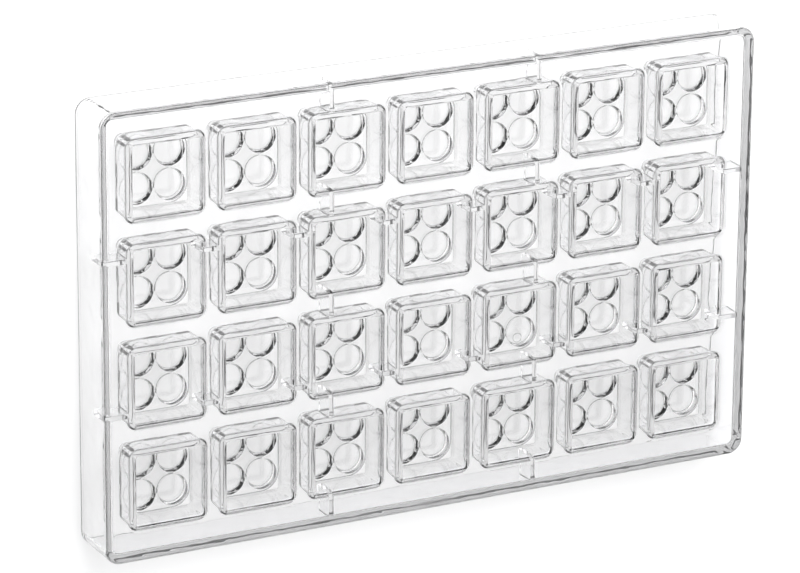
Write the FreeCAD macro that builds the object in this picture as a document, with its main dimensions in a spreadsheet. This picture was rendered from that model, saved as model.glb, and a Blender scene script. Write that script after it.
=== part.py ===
"""Clear chocolate mould for 28 square pieces with four round studs each, moulded as one part.

Frame: +Z up, X along the long side, origin at the middle of the rim that the mould rests on.
The plate with the cavity mouths is the top. Lengths are in millimetres, angles in degrees.
"""

import FreeCAD, Part
import math
import os

import Sketcher

NODE = "mould"

# Driving sizes: name and value. Every sketch and feature below is bound to these cells.
SIZES = {
    # The tray: a flat plate with a skirt all round
    "tray_length": 275.0,
    "tray_width": 175.0,
    "tray_height": 24.0,
    "tray_corner_radius": 6.0,
    "skirt_wall": 3.0,
    "plate_thickness": 3.0,
    "top_edge_radius": 1.0,
    "skirt_root_radius": 1.5,
    # The grid of cavities
    "columns": 7,
    "rows": 4,
    "column_pitch": 37.0,
    "row_pitch": 40.0,
    # One cavity, measured at its mouth
    "cavity_side": 28.0,
    "cavity_corner_radius": 1.0,
    "cavity_depth": 13.0,
    "cavity_draft": 1.3,
    # The four round recesses in a cavity's floor
    "stud_diameter": 12.8,
    "stud_pitch": 13.2,
    "stud_depth": 2.2,
    # The cup that carries a cavity under the plate, and the pad under it that holds the recesses
    "cup_wall": 1.5,
    "cup_floor": 1.2,
    "cup_corner_radius": 3.0,
    "pad_wall": 1.2,
    # Stiffening ribs under the plate, two each way
    "rib_thickness": 2.0,
    "rib_drop": 9.0,
    "long_rib_inset": 4.0,
    "cross_rib_inset": 7.4,
    # Round moulding marks under the cups where two ribs would cross
    "gate_diameter": 3.8,
    "gate_height": 0.4,
}

# Places that several features share, worked out from the driving sizes.
PLACES = {
    "plate_underside": "=tray_height - plate_thickness",
    "cavity_floor": "=tray_height - cavity_depth",
    "cup_underside": "=cavity_floor - cup_floor",
    "pad_underside": "=cup_underside - stud_depth",
    "cup_side": "=cavity_side + 2 * cup_wall",
    "pad_side": "=stud_pitch + stud_diameter + 2 * pad_wall",
    "pad_corner_radius": "=stud_diameter / 2 + pad_wall",
    "first_column": "=-(columns - 1) / 2 * column_pitch",
    "first_row": "=-(rows - 1) / 2 * row_pitch",
    "long_rib_place": "=row_pitch / 2 + cavity_side / 2 - long_rib_inset",
    "cross_rib_place": "=column_pitch + cavity_side / 2 - cross_rib_inset",
}

# The points that an edge of a sketch has, and the sketch's own origin
START, END, CENTRE = range(1, 4)
ORIGIN = (-1, START)

QUARTER_TURN = math.pi / 2
SAME_LEVEL = 1e-6


def make_sheet(doc):
    """The spreadsheet with the driving sizes and the shared places."""
    sheet = doc.addObject("Spreadsheet::Sheet", "sizes")
    for row, (name, value) in enumerate({**SIZES, **PLACES}.items(), start=1):
        sheet.set(f"A{row}", name)
        sheet.set(f"B{row}", str(value))
        sheet.setAlias(f"B{row}", name)
    doc.recompute()
    return sheet


def bound(expression):
    """An expression on the sheet's names, with each name led by the sheet's own."""
    words = expression.replace("(", "( ").replace(")", " )").split()
    names = {**SIZES, **PLACES}
    return " ".join(f"sizes.{word}" if word in names else word for word in words)


def origin_part(body, role):
    """One of the body's own origin planes or axes."""
    return next(part for part in body.Origin.OriginFeatures if part.Role == role)


def new_sketch(body, name, level="0", across="0", along="0"):
    """A sketch on the body's XY plane, moved to a level and to a place in the plane."""
    sketch = body.newObject("Sketcher::SketchObject", name)
    sketch.AttachmentSupport = [(origin_part(body, "XY_Plane"), "")]
    sketch.MapMode = "FlatFace"
    for axis, expression in (("x", across), ("y", along), ("z", level)):
        sketch.setExpression(f"AttachmentOffset.Base.{axis}", bound(expression))
    return sketch


def value_of(doc, expression):
    """The present value of an expression on the sheet."""
    return float(doc.sizes.evalExpression(bound(expression)))


def add_size(sketch, name, expression, *constraint):
    """A named dimension of the sketch, bound to an expression on the sheet."""
    value = value_of(sketch.Document, expression)
    index = sketch.addConstraint(Sketcher.Constraint(*constraint, value))
    sketch.renameConstraint(index, name)
    sketch.setExpression(f"Constraints.{name}", bound(expression))


def add_place(sketch, name, expression, side, direction, edge, point):
    """Sets an edge's point at a distance from the origin, on the positive or negative side."""
    there = (edge, point)
    ends = (*ORIGIN, *there) if side > 0 else (*there, *ORIGIN)
    add_size(sketch, name, expression, direction, *ends)


def add_rounded_rectangle(sketch, wide, high, radius):
    """A rectangle with round corners about the sketch's origin."""
    doc = sketch.Document
    a = value_of(doc, wide) / 2
    b = value_of(doc, high) / 2
    r = value_of(doc, radius)
    corners = [(a - r, b - r), (-a + r, b - r), (-a + r, -b + r), (a - r, -b + r)]
    arcs = []
    for turn, (x, y) in enumerate(corners):
        circle = Part.Circle(FreeCAD.Vector(x, y, 0), FreeCAD.Vector(0, 0, 1), r)
        arc = Part.ArcOfCircle(circle, turn * QUARTER_TURN, (turn + 1) * QUARTER_TURN)
        arcs.append(sketch.addGeometry(arc))
    lines = []
    for turn, arc in enumerate(arcs):
        following = arcs[(turn + 1) % len(arcs)]
        start = sketch.getPoint(arc, END)
        end = sketch.getPoint(following, START)
        line = sketch.addGeometry(Part.LineSegment(start, end))
        sketch.addConstraint(Sketcher.Constraint("Tangent", arc, END, line, START))
        sketch.addConstraint(Sketcher.Constraint("Tangent", line, END, following, START))
        sketch.addConstraint(Sketcher.Constraint("Vertical" if turn % 2 else "Horizontal", line))
        lines.append(line)
    for arc in arcs[1:]:
        sketch.addConstraint(Sketcher.Constraint("Equal", arcs[0], arc))
    sketch.addConstraint(Sketcher.Constraint("Symmetric", arcs[0], CENTRE, arcs[2], CENTRE, *ORIGIN))
    top, left, bottom, right = lines
    add_size(sketch, "corner", radius, "Radius", arcs[0])
    add_size(sketch, "wide", wide, "DistanceX", left, START, right, START)
    add_size(sketch, "high", high, "DistanceY", bottom, START, top, START)


def add_four_circles(sketch, diameter, across, along):
    """Four equal circles, one in each quarter, at the same distances from the origin."""
    doc = sketch.Document
    radius = value_of(doc, diameter) / 2
    first = None
    for side_x in (1, -1):
        for side_y in (1, -1):
            x = side_x * value_of(doc, across)
            y = side_y * value_of(doc, along)
            circle = Part.Circle(FreeCAD.Vector(x, y, 0), FreeCAD.Vector(0, 0, 1), radius)
            edge = sketch.addGeometry(circle)
            add_place(sketch, f"across{edge}", across, side_x, "DistanceX", edge, CENTRE)
            add_place(sketch, f"along{edge}", along, side_y, "DistanceY", edge, CENTRE)
            if first is None:
                first = edge
                add_size(sketch, "diameter", diameter, "Diameter", edge)
            else:
                sketch.addConstraint(Sketcher.Constraint("Equal", first, edge))


def add_bar(sketch, name, low, high, reach, side, lengthways):
    """A rectangle from low to high on one side of the origin, as long as twice its reach.

    It runs along X where lengthways is true, and along Y otherwise.
    """
    doc = sketch.Document
    inner = side * value_of(doc, low)
    outer = side * value_of(doc, high)
    end = value_of(doc, reach)
    points = [(-end, inner), (end, inner), (end, outer), (-end, outer)]
    if not lengthways:
        points = [(y, x) for x, y in points]
    points = [FreeCAD.Vector(x, y, 0) for x, y in points]
    edges = []
    for turn, point in enumerate(points):
        segment = Part.LineSegment(point, points[(turn + 1) % len(points)])
        edges.append(sketch.addGeometry(segment))
    for turn, edge in enumerate(edges):
        following = edges[(turn + 1) % len(edges)]
        sketch.addConstraint(Sketcher.Constraint("Coincident", edge, END, following, START))
        level = (turn % 2 == 0) == lengthways
        sketch.addConstraint(Sketcher.Constraint("Horizontal" if level else "Vertical", edge))
    over, past = ("DistanceY", "DistanceX") if lengthways else ("DistanceX", "DistanceY")
    add_place(sketch, f"{name}_inner", low, side, over, edges[0], START)
    add_place(sketch, f"{name}_outer", high, side, over, edges[2], START)
    add_place(sketch, f"{name}_first_end", reach, -1, past, edges[0], START)
    add_place(sketch, f"{name}_second_end", reach, 1, past, edges[1], START)


def extrude(body, kind, name, sketch, length, downwards, grows=True, draft=""):
    """A pad or a pocket of a sketch, which must add to the solid or cut from it as grows says."""
    before = body.Shape.Volume if body.Shape.Solids else 0.0
    feature = body.newObject(kind, name)
    feature.Profile = sketch
    feature.setExpression("Length", bound(length))
    if draft:
        feature.setExpression("TaperAngle", bound(draft))
    # A pad follows the sketch's normal, which is up, and a pocket goes against it.
    feature.Reversed = downwards if kind == "PartDesign::Pad" else not downwards
    body.Tip = feature
    body.Document.recompute()
    change = body.Shape.Volume - before
    if (change > 0) != grows:
        raise ValueError(f"{name} changed the volume by {change:.1f} mm3, which is the wrong way")
    return feature


def repeat_over_grid(body, name, originals):
    """Copies of features at every column and row, from the first column and row."""
    pattern = body.newObject("PartDesign::LinearPattern", name)
    pattern.Originals = originals
    pattern.Direction = (origin_part(body, "X_Axis"), [""])
    pattern.Direction2 = (origin_part(body, "Y_Axis"), [""])
    pattern.Mode = "Extent"
    pattern.Mode2 = "Extent"
    pattern.setExpression("Length", bound("0 - 2 * first_column"))
    pattern.setExpression("Length2", bound("0 - 2 * first_row"))
    pattern.setExpression("Occurrences", bound("columns"))
    pattern.setExpression("Occurrences2", bound("rows"))
    body.Tip = pattern
    body.Document.recompute()


def round_level_edges(body, name, level, radius):
    """A fillet on every edge that lies flat at one level."""
    doc = body.Document
    height = value_of(doc, level)
    base = body.Tip
    edges = []
    for index, edge in enumerate(base.Shape.Edges, start=1):
        box = edge.BoundBox
        if max(abs(box.ZMin - height), abs(box.ZMax - height)) < SAME_LEVEL:
            edges.append(f"Edge{index}")
    fillet = body.newObject("PartDesign::Fillet", name)
    fillet.Base = (base, edges)
    fillet.setExpression("Radius", bound(radius))
    body.Tip = fillet
    doc.recompute()


def make_tray(body):
    """The plate and its skirt: a block with round corners, hollowed from below."""
    outline = new_sketch(body, "tray_outline")
    add_rounded_rectangle(outline, "tray_length", "tray_width", "tray_corner_radius")
    extrude(body, "PartDesign::Pad", "tray_block", outline, "tray_height", downwards=False)
    round_level_edges(body, "top_edge_round", "tray_height", "top_edge_radius")
    hollow = new_sketch(body, "tray_hollow")
    add_rounded_rectangle(
        hollow,
        "tray_length - 2 * skirt_wall",
        "tray_width - 2 * skirt_wall",
        "tray_corner_radius - skirt_wall",
    )
    extrude(body, "PartDesign::Pocket", "tray_inside", hollow, "plate_underside", False, grows=False)
    round_level_edges(body, "skirt_root_round", "plate_underside", "skirt_root_radius")


def make_ribs(body):
    """Thin webs under the plate that run from skirt to skirt: two lengthways, two across."""
    for name, place, reach, lengthways in (
        ("long_rib", "long_rib_place", "tray_length / 2 - skirt_wall / 2", True),
        ("cross_rib", "cross_rib_place", "tray_width / 2 - skirt_wall / 2", False),
    ):
        sketch = new_sketch(body, f"{name}_plan", level="plate_underside")
        for side_name, side in (("positive", 1), ("negative", -1)):
            low = f"{place} - rib_thickness / 2"
            high = f"{place} + rib_thickness / 2"
            add_bar(sketch, side_name, low, high, reach, side, lengthways)
        extrude(body, "PartDesign::Pad", name, sketch, "rib_drop", downwards=True)


def make_cups(body):
    """The cups under the plate, one below each cavity, with a pad under each cup."""
    plan = new_sketch(body, "cup_plan", "plate_underside", "first_column", "first_row")
    add_rounded_rectangle(plan, "cup_side", "cup_side", "cup_corner_radius")
    depth = "plate_underside - cup_underside"
    cup = extrude(body, "PartDesign::Pad", "cup", plan, depth, downwards=True)
    foot = new_sketch(body, "pad_plan", "cup_underside", "first_column", "first_row")
    add_rounded_rectangle(foot, "pad_side", "pad_side", "pad_corner_radius")
    pad = extrude(body, "PartDesign::Pad", "pad", foot, "stud_depth", downwards=True)
    repeat_over_grid(body, "cups", [cup, pad])


def make_gate_marks(body):
    """Low round pips under the four cups that stand where the ribs would cross."""
    marks = new_sketch(body, "gate_marks_plan", level="pad_underside")
    add_four_circles(marks, "gate_diameter", "cross_rib_place", "long_rib_place")
    extrude(body, "PartDesign::Pad", "gate_marks", marks, "gate_height", downwards=True)


def make_cavities(body):
    """The square cavities, with four round recesses in each floor.

    Their sides slope inwards on the way down, so that the chocolate drops out.
    """
    mouth = new_sketch(body, "cavity_mouth", "tray_height", "first_column", "first_row")
    add_rounded_rectangle(mouth, "cavity_side", "cavity_side", "cavity_corner_radius")
    draft = "0 - cavity_draft"
    cavity = extrude(body, "PartDesign::Pocket", "cavity", mouth, "cavity_depth", True, False, draft)
    studs = new_sketch(body, "stud_circles", "cavity_floor", "first_column", "first_row")
    add_four_circles(studs, "stud_diameter", "stud_pitch / 2", "stud_pitch / 2")
    recess = extrude(body, "PartDesign::Pocket", "stud_recesses", studs, "stud_depth", True, grows=False)
    repeat_over_grid(body, "cavities", [cavity, recess])


def check(doc, body):
    """Stops if any object failed, or if the mould is not one valid solid."""
    for item in doc.Objects:
        if "Invalid" in item.State or "Error" in item.State:
            raise ValueError(f"{item.Name} failed: {item.State}")
    shape = body.Shape
    if shape.isNull() or not shape.isValid() or len(shape.Solids) != 1:
        raise ValueError(f"{body.Label} is not one valid solid")
    box = shape.optimalBoundingBox(True, False)
    print(
        f"{body.Label}: {box.XLength:.3f} x {box.YLength:.3f} x {box.ZLength:.3f} mm, "
        f"{shape.Volume / 1000:.2f} cm3, {len(shape.Faces)} faces"
    )


def main():
    doc = FreeCAD.newDocument("chocolate_mould")
    make_sheet(doc)
    body = doc.addObject("PartDesign::Body", NODE)
    body.Label = NODE
    body.Placement = FreeCAD.Placement()
    make_tray(body)
    make_ribs(body)
    make_cups(body)
    make_gate_marks(body)
    make_cavities(body)
    doc.recompute()
    check(doc, body)
    os.makedirs("parts", exist_ok=True)
    body.Shape.exportStep(os.path.join("parts", f"{NODE}.step"))


main()
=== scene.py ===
"""The clear chocolate mould on a pale studio floor.

The moulding is built again here with the small roundings of its edges, because in clear plastic
they carry most of what the eye sees. Lengths are in millimetres unless a name says otherwise.
"""

import math

import bmesh
import bpy
from mathutils import Matrix, Vector


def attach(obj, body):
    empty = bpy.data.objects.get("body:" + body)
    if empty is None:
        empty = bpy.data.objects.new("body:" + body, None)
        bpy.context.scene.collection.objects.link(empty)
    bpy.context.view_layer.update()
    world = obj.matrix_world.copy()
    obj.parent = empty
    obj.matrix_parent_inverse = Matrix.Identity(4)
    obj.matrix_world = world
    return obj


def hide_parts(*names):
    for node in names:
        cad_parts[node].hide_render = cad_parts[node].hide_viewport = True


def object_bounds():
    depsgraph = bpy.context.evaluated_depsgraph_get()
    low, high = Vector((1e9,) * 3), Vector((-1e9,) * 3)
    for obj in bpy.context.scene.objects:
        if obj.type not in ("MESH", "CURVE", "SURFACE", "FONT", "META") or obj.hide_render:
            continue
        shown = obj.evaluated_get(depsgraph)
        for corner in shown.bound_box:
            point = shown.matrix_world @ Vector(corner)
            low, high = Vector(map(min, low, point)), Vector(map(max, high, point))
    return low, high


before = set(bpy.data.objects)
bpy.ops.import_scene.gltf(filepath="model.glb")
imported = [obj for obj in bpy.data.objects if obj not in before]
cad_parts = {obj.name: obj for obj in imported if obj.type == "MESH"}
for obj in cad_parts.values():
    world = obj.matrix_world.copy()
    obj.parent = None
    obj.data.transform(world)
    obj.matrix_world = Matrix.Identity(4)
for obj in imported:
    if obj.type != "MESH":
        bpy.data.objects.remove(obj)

NODE = "mould"
PIECE = "clear_mould"
SLOT = "clear_polycarbonate"
MM = 0.001

# The tray, whose outer size comes from the frame
CAD_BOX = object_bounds()
LENGTH, WIDTH, HEIGHT = (CAD_BOX[1] - CAD_BOX[0]) / MM
TRAY_CORNER = 6.0
SKIRT_WALL = 3.0
PLATE = 3.0
TOP_EDGE_ROUND = 1.0
SKIRT_ROOT_ROUND = 1.5
RIM_ROUND = 1.0

# The grid of cavities, and one cavity
COLUMNS, ROWS = 7, 4
COLUMN_PITCH, ROW_PITCH = 37.0, 40.0
CAVITY_SIDE = 28.0
CAVITY_CORNER = 1.0
CAVITY_DEPTH = 13.0
CAVITY_DRAFT = math.radians(1.3)
MOUTH_ROUND = 0.25
FLOOR_ROUND = 0.15

# The round recesses in a cavity's floor
STUD_RADIUS = 6.1
STUD_PITCH = 13.2
STUD_DEPTH = 2.2
STUD_TAPER = 0.3
STUD_EDGE_ROUND = 0.3
STUD_BOTTOM_ROUND = 0.6

# The cup under each cavity, the pad under it that holds the recesses, and a low disc under each recess
CUP_WALL = 1.5
CUP_FLOOR = 1.2
CUP_CORNER = 3.0
CUP_ROOT_ROUND = 1.4
CUP_EDGE_ROUND = 0.25
PAD_FLOOR = 0.7
PAD_INSET = 1.3
PAD_CORNER = 7.6
PAD_EDGE_ROUND = 0.25
DISC_RADIUS = 5.9
DISC_HEIGHT = 0.5
DISC_EDGE_ROUND = 0.4

# The ribs between the cups, and the moulding marks under four of the cups
RIB = 2.0
RIB_DROP = 9.0
RIB_EDGE_ROUND = 0.3
LONG_RIB_INSET = 4.0
CROSS_RIB_INSET = 7.4
GATE_RADIUS = 1.9
GATE_HEIGHT = 0.4
GATE_EDGE_ROUND = 0.35

# Levels above the floor
PLATE_UNDERSIDE = HEIGHT - PLATE
CAVITY_FLOOR = HEIGHT - CAVITY_DEPTH
STUD_FLOOR = CAVITY_FLOOR - STUD_DEPTH
CUP_UNDERSIDE = CAVITY_FLOOR - CUP_FLOOR
PAD_UNDERSIDE = STUD_FLOOR - PAD_FLOOR
DISC_UNDERSIDE = PAD_UNDERSIDE - DISC_HEIGHT
RIB_BOTTOM = PLATE_UNDERSIDE - RIB_DROP
RIB_SHOULDER = RIB_BOTTOM + RIB_EDGE_ROUND

# Places in plan
CUP_HALF = CAVITY_SIDE / 2 + CUP_WALL
SKIRT_X = LENGTH / 2 - SKIRT_WALL
SKIRT_Y = WIDTH / 2 - SKIRT_WALL
COLUMN_XS = [(i - (COLUMNS - 1) / 2) * COLUMN_PITCH for i in range(COLUMNS)]
ROW_YS = [(i - (ROWS - 1) / 2) * ROW_PITCH for i in range(ROWS)]
LONG_RIB_Y = ROW_PITCH / 2 + CAVITY_SIDE / 2 - LONG_RIB_INSET
CROSS_RIB_X = COLUMN_PITCH + CAVITY_SIDE / 2 - CROSS_RIB_INSET

# How finely round things are divided, and to how many decimals points have to agree to be the same
CORNER_STEPS = 8
ROUND_STEPS = 3
CIRCLE_STEPS = 48
POINT_DECIMALS = 4

# The angle from which an edge looks sharp
SHARP_FROM = math.radians(35)

# The sides of an outline, in the order that it is drawn
SIDES = range(4)
PLUS_X, PLUS_Y, MINUS_X, MINUS_Y = SIDES


class Shell:
    """A mesh whose vertices are shared wherever two faces meet."""

    def __init__(self):
        self.mesh = bmesh.new()
        self.known = {}

    def vertex(self, x, y, z):
        """The vertex at a point, made where there isn't one yet."""
        key = tuple(round(value, POINT_DECIMALS) for value in (x, y, z))
        if key not in self.known:
            self.known[key] = self.mesh.verts.new((x * MM, y * MM, z * MM))
        return self.known[key]

    def face(self, points):
        self.mesh.faces.new([self.vertex(*point) for point in points])

    def edge(self, start, end):
        ends = (self.vertex(*start), self.vertex(*end))
        return self.mesh.edges.get(ends) or self.mesh.edges.new(ends)

    def fill_level(self, edges):
        """Faces for the flat region that these edges enclose, with its holes left open."""
        bmesh.ops.triangle_fill(self.mesh, use_beauty=True, edges=edges, normal=(0, 0, 1))


class Outline:
    """A rectangle with round corners, with a pair of points wherever a rib meets a side.

    ribs is a list of (side, place), where place is the rib's middle, an X or a Y of the mould. gaps
    says of each point whether a rib takes up the stretch from it to the next one.
    """

    def __init__(self, x, y, half_x, half_y, corner, ribs=()):
        self.x, self.y = x, y
        self.half_x, self.half_y = half_x, half_y
        self.corner = corner
        self.ribs = list(ribs)
        self.gaps = []
        for side in SIDES:
            self.gaps += [True, False] * len(self.places(side)) + [False] * (CORNER_STEPS + 1)

    def places(self, side):
        """The middles of the ribs on a side, in the order that the outline meets them."""
        found = [place for rib_side, place in self.ribs if rib_side == side]
        return sorted(found, reverse=side in (PLUS_Y, MINUS_X))

    def ring(self, inset, z):
        """The outline's points at a level, drawn in by an inset or let out by a negative one."""
        points = []
        for side in SIDES:
            forward = 1 if side in (PLUS_X, MINUS_Y) else -1
            for place in self.places(side):
                points += [self.on_side(side, place + end * forward * RIB / 2, inset) for end in (-1, 1)]
            points += self.corner_after(side, inset)
        return [(x, y, z) for x, y in points]

    def on_side(self, side, place, inset):
        if side in (PLUS_X, MINUS_X):
            reach = self.half_x - inset
            return (self.x + reach if side == PLUS_X else self.x - reach, place)
        reach = self.half_y - inset
        return (place, self.y + reach if side == PLUS_Y else self.y - reach)

    def corner_after(self, side, inset):
        """The arc that follows a side, counterclockwise."""
        to_right = 1 if side in (PLUS_X, MINUS_Y) else -1
        to_back = 1 if side in (PLUS_X, PLUS_Y) else -1
        x = self.x + to_right * (self.half_x - self.corner)
        y = self.y + to_back * (self.half_y - self.corner)
        return around(x, y, self.corner - inset, side, side + 1, CORNER_STEPS)


class Circle:
    """A circle that is drawn in or let out as an Outline is."""

    def __init__(self, x, y, radius):
        self.x, self.y, self.radius = x, y, radius
        self.gaps = [False] * CIRCLE_STEPS

    def ring(self, inset, z):
        points = around(self.x, self.y, self.radius - inset, 0, 4, CIRCLE_STEPS)[:-1]
        return [(x, y, z) for x, y in points]


def around(x, y, radius, start, end, steps):
    """Points on an arc about a centre, from one quarter turn to another."""
    turns = [start + (end - start) * step / steps for step in range(steps + 1)]
    angles = [turn * math.pi / 2 for turn in turns]
    return [(x + radius * math.cos(angle), y + radius * math.sin(angle)) for angle in angles]


def rounding(inset, z, radius, start, end):
    """Profile points (inset, z) on an arc about a centre, from one quarter turn to another.

    Turn 0 points inward, 1 up, 2 outward and 3 down.
    """
    return around(inset, z, radius, start, end, ROUND_STEPS)


def root_rounding(radius):
    """The rounding between a wall and the plate's underside, as (distance from the wall, z)."""
    return rounding(radius, PLATE_UNDERSIDE - radius, radius, 2, 1)


def pairs(items):
    """Each item with the one after it, and the last with the first."""
    return list(zip(items, items[1:] + items[:1]))


def skin(shell, outline, profile, open_at_ribs=False):
    """Bands of faces that follow an outline through a list of (inset, z)."""
    rings = [outline.ring(inset, z) for inset, z in profile]
    for lower, upper in zip(rings, rings[1:]):
        for (a, b), (d, c), gap in zip(pairs(lower), pairs(upper), outline.gaps):
            if not (gap and open_at_ribs):
                shell.face([a, b, c, d])


def level_edges(shell, outline, inset, z, open_at_ribs=False):
    """An outline's edges at one level."""
    found = zip(pairs(outline.ring(inset, z)), outline.gaps)
    return [shell.edge(a, b) for (a, b), gap in found if not (gap and open_at_ribs)]


def rib_section():
    """A rib's lower edge as (place across it, z), all the way round from one shoulder to the other."""
    near = rounding(RIB_EDGE_ROUND, RIB_SHOULDER, RIB_EDGE_ROUND, 2, 3)
    far = [(RIB - across, z) for across, z in reversed(near)]
    return near + far


def ribbed_wall(shell, outline, low, high):
    """An upright wall with an opening of the rib's section wherever a rib grows out of it."""
    ring = outline.ring(0, 0)
    for i, ((a_x, a_y, _), (b_x, b_y, _)) in enumerate(pairs(ring)):
        points = [(a_x, a_y, low), (b_x, b_y, low)]
        if outline.gaps[i]:
            step_x, step_y = (b_x - a_x) / RIB, (b_y - a_y) / RIB
            section = [(a_x + s * step_x, a_y + s * step_y, z) for s, z in rib_section()]
            shell.face(points + section[::-1])
            continue
        if outline.gaps[(i + 1) % len(ring)]:
            points.append((b_x, b_y, RIB_SHOULDER))
        points += [(b_x, b_y, high), (a_x, a_y, high)]
        if outline.gaps[i - 1]:
            points.append((a_x, a_y, RIB_SHOULDER))
        shell.face(points)


def make_rib(shell, lengthways, place, start, end):
    """One stretch of a rib between two walls. Each end is (where the wall is, its root's radius).

    Returns the two edges along which the rib meets the plate.
    """
    def at(along, across, z):
        across += place - RIB / 2
        return (along, across, z) if lengthways else (across, along, z)

    (start, start_radius), (end, end_radius) = start, end
    section = rib_section()
    for (a, a_z), (b, b_z) in zip(section, section[1:]):
        shell.face([at(start, a, a_z), at(start, b, b_z), at(end, b, b_z), at(end, a, a_z)])
    rising = [(start + out, z) for out, z in root_rounding(start_radius)]
    falling = [(end - out, z) for out, z in reversed(root_rounding(end_radius))]
    side = [(start, RIB_SHOULDER), *rising, *falling, (end, RIB_SHOULDER)]
    edges = []
    for across in (0, RIB):
        shell.face([at(along, across, z) for along, z in side])
        ends = [at(along, across, z) for along, z in (rising[-1], falling[0])]
        edges.append(shell.edge(*ends))
    return edges


def make_rib_line(shell, lengthways, place, cup_middles, skirt):
    """A rib from skirt to skirt, in stretches between the cups that it passes through."""
    stops = [(-skirt, SKIRT_ROOT_ROUND)]
    for middle in cup_middles:
        stops += [(middle - CUP_HALF, CUP_ROOT_ROUND), (middle + CUP_HALF, CUP_ROOT_ROUND)]
    stops.append((skirt, SKIRT_ROOT_ROUND))
    edges = []
    for start, end in zip(stops[::2], stops[1::2]):
        edges += make_rib(shell, lengthways, place, start, end)
    return edges


def make_skirt(shell):
    """The outside, the rim and the inside. Returns the edges round the plate's top and underside."""
    outer = Outline(0, 0, LENGTH / 2, WIDTH / 2, TRAY_CORNER)
    foot = rounding(RIM_ROUND, RIM_ROUND, RIM_ROUND, 3, 2)
    shoulder = rounding(TOP_EDGE_ROUND, HEIGHT - TOP_EDGE_ROUND, TOP_EDGE_ROUND, 2, 1)
    skin(shell, outer, foot + shoulder)

    ends = [(side, sign * LONG_RIB_Y) for side in (PLUS_X, MINUS_X) for sign in (-1, 1)]
    ends += [(side, sign * CROSS_RIB_X) for side in (PLUS_Y, MINUS_Y) for sign in (-1, 1)]
    inner = Outline(0, 0, SKIRT_X, SKIRT_Y, TRAY_CORNER - SKIRT_WALL, ends)
    root = root_rounding(SKIRT_ROOT_ROUND)
    skin(shell, inner, rounding(-RIM_ROUND, RIM_ROUND, RIM_ROUND, 3, 4))
    ribbed_wall(shell, inner, RIM_ROUND, root[0][1])
    skin(shell, inner, root, open_at_ribs=True)

    rim = level_edges(shell, outer, RIM_ROUND, 0) + level_edges(shell, inner, -RIM_ROUND, 0)
    shell.fill_level(rim)
    top = level_edges(shell, outer, TOP_EDGE_ROUND, HEIGHT)
    underside = level_edges(shell, inner, SKIRT_ROOT_ROUND, PLATE_UNDERSIDE, open_at_ribs=True)
    return top, underside


def stud_places(x, y):
    """The middles of the four recesses in the cavity at this place."""
    signs = (-1, 1)
    return [(x + right * STUD_PITCH / 2, y + back * STUD_PITCH / 2) for right in signs for back in signs]


def make_stud(shell, x, y):
    """One round recess. Returns the edges of its mouth in the cavity's floor."""
    circle = Circle(x, y, STUD_RADIUS)
    edge, bottom = STUD_EDGE_ROUND, STUD_BOTTOM_ROUND
    mouth = rounding(-edge, CAVITY_FLOOR - edge, edge, 1, 0)
    foot = STUD_TAPER + bottom
    skin(shell, circle, mouth + rounding(foot, STUD_FLOOR + bottom, bottom, 2, 3))
    shell.face(circle.ring(foot, STUD_FLOOR))
    return level_edges(shell, circle, -edge, CAVITY_FLOOR)


def make_cavity(shell, x, y):
    """One cavity with its four recesses. Returns the edges of its mouth in the plate."""
    outline = Outline(x, y, CAVITY_SIDE / 2, CAVITY_SIDE / 2, CAVITY_CORNER)
    foot = CAVITY_DEPTH * math.tan(CAVITY_DRAFT)
    mouth = rounding(-MOUTH_ROUND, HEIGHT - MOUTH_ROUND, MOUTH_ROUND, 1, 0)
    corner = rounding(foot + FLOOR_ROUND, CAVITY_FLOOR + FLOOR_ROUND, FLOOR_ROUND, 2, 3)
    skin(shell, outline, mouth + corner)
    floor = level_edges(shell, outline, foot + FLOOR_ROUND, CAVITY_FLOOR)
    for place in stud_places(x, y):
        floor += make_stud(shell, *place)
    shell.fill_level(floor)
    return level_edges(shell, outline, -MOUTH_ROUND, HEIGHT)


def ribs_at(x, y):
    """The sides where ribs meet the cup in this place, each with the rib's own place."""
    found = []
    for sign in (-1, 1):
        if abs(sign * LONG_RIB_Y - y) < CUP_HALF:
            found += [(side, sign * LONG_RIB_Y) for side in (PLUS_X, MINUS_X)]
        if abs(sign * CROSS_RIB_X - x) < CUP_HALF:
            found += [(side, sign * CROSS_RIB_X) for side in (PLUS_Y, MINUS_Y)]
    return found


def make_cup(shell, x, y):
    """The cup under a cavity. Returns the edges of its root at the plate's underside."""
    ribs = ribs_at(x, y)
    outline = Outline(x, y, CUP_HALF, CUP_HALF, CUP_CORNER, ribs)
    foot = rounding(CUP_EDGE_ROUND, CUP_UNDERSIDE + CUP_EDGE_ROUND, CUP_EDGE_ROUND, 3, 2)
    root = [(-out, z) for out, z in root_rounding(CUP_ROOT_ROUND)]
    skin(shell, outline, foot)
    ribbed_wall(shell, outline, foot[-1][1], root[0][1])
    skin(shell, outline, root, open_at_ribs=True)
    crossed = {PLUS_X, PLUS_Y} <= {side for side, place in ribs}
    ledge = level_edges(shell, outline, CUP_EDGE_ROUND, CUP_UNDERSIDE)
    shell.fill_level(ledge + make_pad(shell, x, y, crossed))
    return level_edges(shell, outline, -CUP_ROOT_ROUND, PLATE_UNDERSIDE, open_at_ribs=True)


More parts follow.
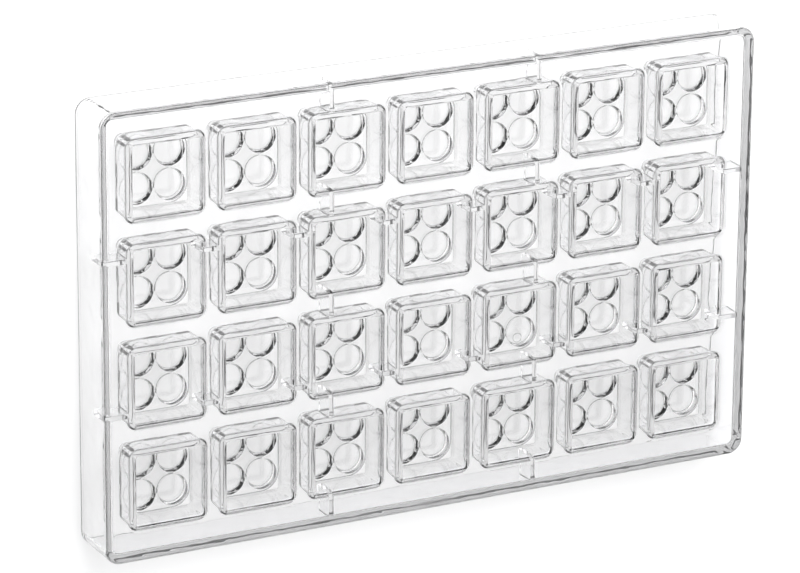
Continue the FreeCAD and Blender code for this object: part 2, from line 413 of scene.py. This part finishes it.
def make_pad(shell, x, y, marked):
    """The pad under a cup, with its discs. Returns the edges of its root at the cup's underside.

    A marked pad has its moulding mark under the disc that is furthest from the mould's middle lines.
    """
    reach = CUP_HALF - PAD_INSET
    outline = Outline(x, y, reach, reach, PAD_CORNER)
    foot = rounding(PAD_EDGE_ROUND, PAD_UNDERSIDE + PAD_EDGE_ROUND, PAD_EDGE_ROUND, 3, 2)
    skin(shell, outline, foot + [(0, CUP_UNDERSIDE)])
    bottom = level_edges(shell, outline, PAD_EDGE_ROUND, PAD_UNDERSIDE)
    for disc_x, disc_y in stud_places(x, y):
        furthest = abs(disc_x) > abs(x) and abs(disc_y) > abs(y)
        bottom += make_disc(shell, disc_x, disc_y, marked and furthest)
    shell.fill_level(bottom)
    return level_edges(shell, outline, 0, CUP_UNDERSIDE)


def make_disc(shell, x, y, marked):
    """The low disc under a recess. Returns the edges of its root at the pad's underside."""
    circle = Circle(x, y, DISC_RADIUS)
    edge = DISC_EDGE_ROUND
    skin(shell, circle, [(0, PAD_UNDERSIDE)] + rounding(edge, DISC_UNDERSIDE + edge, edge, 2, 3))
    bottom = level_edges(shell, circle, edge, DISC_UNDERSIDE)
    if marked:
        bottom += make_gate_mark(shell, math.copysign(CROSS_RIB_X, x), math.copysign(LONG_RIB_Y, y))
    shell.fill_level(bottom)
    return level_edges(shell, circle, 0, PAD_UNDERSIDE)


def make_gate_mark(shell, x, y):
    """A moulding mark, which is a low pip. Returns the edges of its root at the disc's underside."""
    circle = Circle(x, y, GATE_RADIUS)
    edge, underside = GATE_EDGE_ROUND, DISC_UNDERSIDE - GATE_HEIGHT
    skin(shell, circle, [(0, DISC_UNDERSIDE)] + rounding(edge, underside + edge, edge, 2, 3))
    shell.face(circle.ring(edge, underside))
    return level_edges(shell, circle, 0, DISC_UNDERSIDE)


def make_moulding():
    """The whole moulding as one closed shell."""
    shell = Shell()
    top, underside = make_skirt(shell)
    for x in COLUMN_XS:
        for y in ROW_YS:
            top += make_cavity(shell, x, y)
            underside += make_cup(shell, x, y)
    for sign in (-1, 1):
        underside += make_rib_line(shell, True, sign * LONG_RIB_Y, COLUMN_XS, SKIRT_X)
        underside += make_rib_line(shell, False, sign * CROSS_RIB_X, ROW_YS, SKIRT_Y)
    shell.fill_level(top)
    shell.fill_level(underside)
    bmesh.ops.recalc_face_normals(shell.mesh, faces=shell.mesh.faces)
    return shell


def make_piece(shell):
    """The shell as an object of the scene, which looks smooth apart from its sharp edges."""
    mesh = shell.mesh
    for face in mesh.faces:
        face.smooth = True
    for edge in mesh.edges:
        edge.smooth = edge.calc_face_angle(math.pi) < SHARP_FROM
    data = bpy.data.meshes.new(PIECE)
    mesh.to_mesh(data)
    mesh.free()
    piece = bpy.data.objects.new(PIECE, data)
    bpy.context.scene.collection.objects.link(piece)
    normals = piece.modifiers.new("even_normals", "WEIGHTED_NORMAL")
    normals.keep_sharp = True
    return piece


# The plastic, and how it is tinted at each face, in its depth and in its shadow
REFRACTIVE_INDEX = 1.585
TINT = (0.99, 0.99, 0.995, 1)
DEPTH_TINT = (0.2, 0.2, 0.21, 1)
DEPTH_DENSITY = 16
SHADOW_TINT = (0.88, 0.88, 0.88, 1)

# The faint waves that moulding left in its faces
WAVES_PER_METRE = 110
WAVE_DETAIL = 1.0
WAVE_HEIGHT = 0.12

# Its dull smudges, which start at one value of a noise pattern and are full at another
SMUDGES_PER_METRE = 38
SMUDGE_DETAIL = 4.0
SMUDGE_STARTS_AT = 0.56
SMUDGE_FULL_AT = 0.75
SMUDGE_ROUGHNESS = 0.12


def noise(tree, per_metre, detail):
    """A noise pattern that is fixed to the object."""
    place = tree.nodes.new("ShaderNodeTexCoord")
    pattern = tree.nodes.new("ShaderNodeTexNoise")
    pattern.inputs["Scale"].default_value = per_metre
    pattern.inputs["Detail"].default_value = detail
    tree.links.new(place.outputs["Object"], pattern.inputs["Vector"])
    return pattern.outputs["Fac"]


def waves(tree):
    """The plastic's normal, tipped a little by low waves."""
    bump = tree.nodes.new("ShaderNodeBump")
    bump.inputs["Strength"].default_value = 1.0
    bump.inputs["Distance"].default_value = WAVE_HEIGHT * MM
    tree.links.new(noise(tree, WAVES_PER_METRE, WAVE_DETAIL), bump.inputs["Height"])
    return bump.outputs["Normal"]


def smudges(tree):
    """The plastic's roughness, which is zero outside the smudges."""
    dull = tree.nodes.new("ShaderNodeMapRange")
    dull.inputs["From Min"].default_value = SMUDGE_STARTS_AT
    dull.inputs["From Max"].default_value = SMUDGE_FULL_AT
    dull.inputs["To Min"].default_value = 0.0
    dull.inputs["To Max"].default_value = SMUDGE_ROUGHNESS
    tree.links.new(noise(tree, SMUDGES_PER_METRE, SMUDGE_DETAIL), dull.inputs["Value"])
    return dull.outputs["Result"]


def clear_to_lamps(tree, surface):
    """The surface, with plain tinted clearness in its place for the light that casts shadows."""
    shade = tree.nodes.new("ShaderNodeBsdfTransparent")
    shade.inputs["Color"].default_value = SHADOW_TINT
    ray = tree.nodes.new("ShaderNodeLightPath")
    mix = tree.nodes.new("ShaderNodeMixShader")
    tree.links.new(ray.outputs["Is Shadow Ray"], mix.inputs["Fac"])
    tree.links.new(surface, mix.inputs[1])
    tree.links.new(shade.outputs["BSDF"], mix.inputs[2])
    return mix.outputs["Shader"]


def clear_plastic():
    """Clear polycarbonate, faintly grey in its depth, which lets lamp light through to the floor."""
    material = bpy.data.materials.new(SLOT)
    material.use_nodes = True
    tree = material.node_tree
    plastic = tree.nodes["Principled BSDF"]
    plastic.inputs["Base Color"].default_value = TINT
    plastic.inputs["IOR"].default_value = REFRACTIVE_INDEX
    plastic.inputs["Transmission Weight"].default_value = 1.0
    tree.links.new(waves(tree), plastic.inputs["Normal"])
    tree.links.new(smudges(tree), plastic.inputs["Roughness"])
    inside = tree.nodes.new("ShaderNodeVolumeAbsorption")
    inside.inputs["Color"].default_value = DEPTH_TINT
    inside.inputs["Density"].default_value = DEPTH_DENSITY
    output = tree.nodes["Material Output"]
    tree.links.new(clear_to_lamps(tree, plastic.outputs["BSDF"]), output.inputs["Surface"])
    tree.links.new(inside.outputs["Volume"], output.inputs["Volume"])
    return material


# The floor, with its size in metres
FLOOR_SIZE = 16
FLOOR_COLOUR = (0.9, 0.9, 0.9, 1)
FLOOR_ROUGHNESS = 0.9


def make_floor():
    """A plain pale floor, large enough for low views too."""
    bpy.ops.mesh.primitive_plane_add(size=FLOOR_SIZE, location=(0, 0, 0))
    floor = bpy.context.object
    floor.name = "floor"
    material = bpy.data.materials.new("floor")
    material.use_nodes = True
    paint = material.node_tree.nodes["Principled BSDF"]
    paint.inputs["Base Color"].default_value = FLOOR_COLOUR
    paint.inputs["Roughness"].default_value = FLOOR_ROUGHNESS
    floor.data.materials.append(material)


# The sky, and for each lamp its place, what it points at, its size in metres and its power in watts
SKY = (0.9, 0.92, 1.0, 1)
SKY_STRENGTH = 0.05
KEY = ((0, 0.5, 0.5), (0, 0.05, 0), 0.6, 7.8)
CEILING = ((0, 0, 2.2), (0, 0, 0), 8, 165)
GLOW = ((0.4, -0.2, 2.2), (0.4, -0.2, 0), 4, 75)


def soft_light(name, place, aim, size, power, seen):
    """A square lamp that lights the floor, or one that is seen in the plastic instead."""
    data = bpy.data.lights.new(name, "AREA")
    data.energy = power
    data.size = size
    data.cycles.use_multiple_importance_sampling = seen
    lamp = bpy.data.objects.new(name, data)
    bpy.context.scene.collection.objects.link(lamp)
    lamp.location = place
    lamp.rotation_euler = (Vector(aim) - Vector(place)).to_track_quat("-Z", "Y").to_euler()
    lamp.visible_diffuse = not seen
    lamp.visible_glossy = seen
    lamp.visible_transmission = seen


def make_studio():
    """A faint sky, a key lamp and a ceiling for the floor, and a glow that only shows in the plastic."""
    world = bpy.data.worlds.new("studio")
    bpy.context.scene.world = world
    world.use_nodes = True
    sky = world.node_tree.nodes["Background"]
    sky.inputs["Color"].default_value = SKY
    sky.inputs["Strength"].default_value = SKY_STRENGTH
    soft_light("key", *KEY, seen=False)
    soft_light("ceiling", *CEILING, seen=False)
    soft_light("ceiling_glow", *GLOW, seen=True)
    bpy.context.scene.view_settings.view_transform = "Standard"


# The camera: where it stands and looks, in metres, its roll from level, and its lens and sensor
CAMERA_PLACE = (-0.784161, 0.568918, 1.510737)
CAMERA_AIM = (-0.015743, 0.004511, 0.024)
CAMERA_ROLL = math.radians(122.13)
CAMERA_LENS = 211.255
CAMERA_SENSOR = 36


def make_camera():
    """A camera that looks down on the mould, rolled so that its length runs across the picture."""
    data = bpy.data.cameras.new("camera")
    data.sensor_width = CAMERA_SENSOR
    data.lens = CAMERA_LENS
    camera = bpy.data.objects.new("camera", data)
    bpy.context.scene.collection.objects.link(camera)
    ahead = (Vector(CAMERA_AIM) - Vector(CAMERA_PLACE)).normalized()
    right = ahead.cross(Vector((0, 0, 1))).normalized()
    level = Matrix((right, right.cross(ahead), -ahead)).transposed().to_4x4()
    roll = Matrix.Rotation(CAMERA_ROLL, 4, "Z")
    camera.matrix_world = Matrix.Translation(CAMERA_PLACE) @ level @ roll
    bpy.context.scene.camera = camera


# How often light may pass through a face or be reflected
BOUNCES = 24


def set_light_paths():
    """Enough bounces for the plastic's many faces, and no caustics."""
    cycles = bpy.context.scene.cycles
    cycles.caustics_refractive = False
    cycles.caustics_reflective = False
    cycles.max_bounces = BOUNCES
    cycles.transmission_bounces = BOUNCES
    cycles.transparent_max_bounces = BOUNCES


mould = make_piece(make_moulding())
mould.data.materials.append(clear_plastic())
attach(mould, "root")
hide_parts(NODE)
make_floor()
make_studio()
make_camera()
set_light_paths()
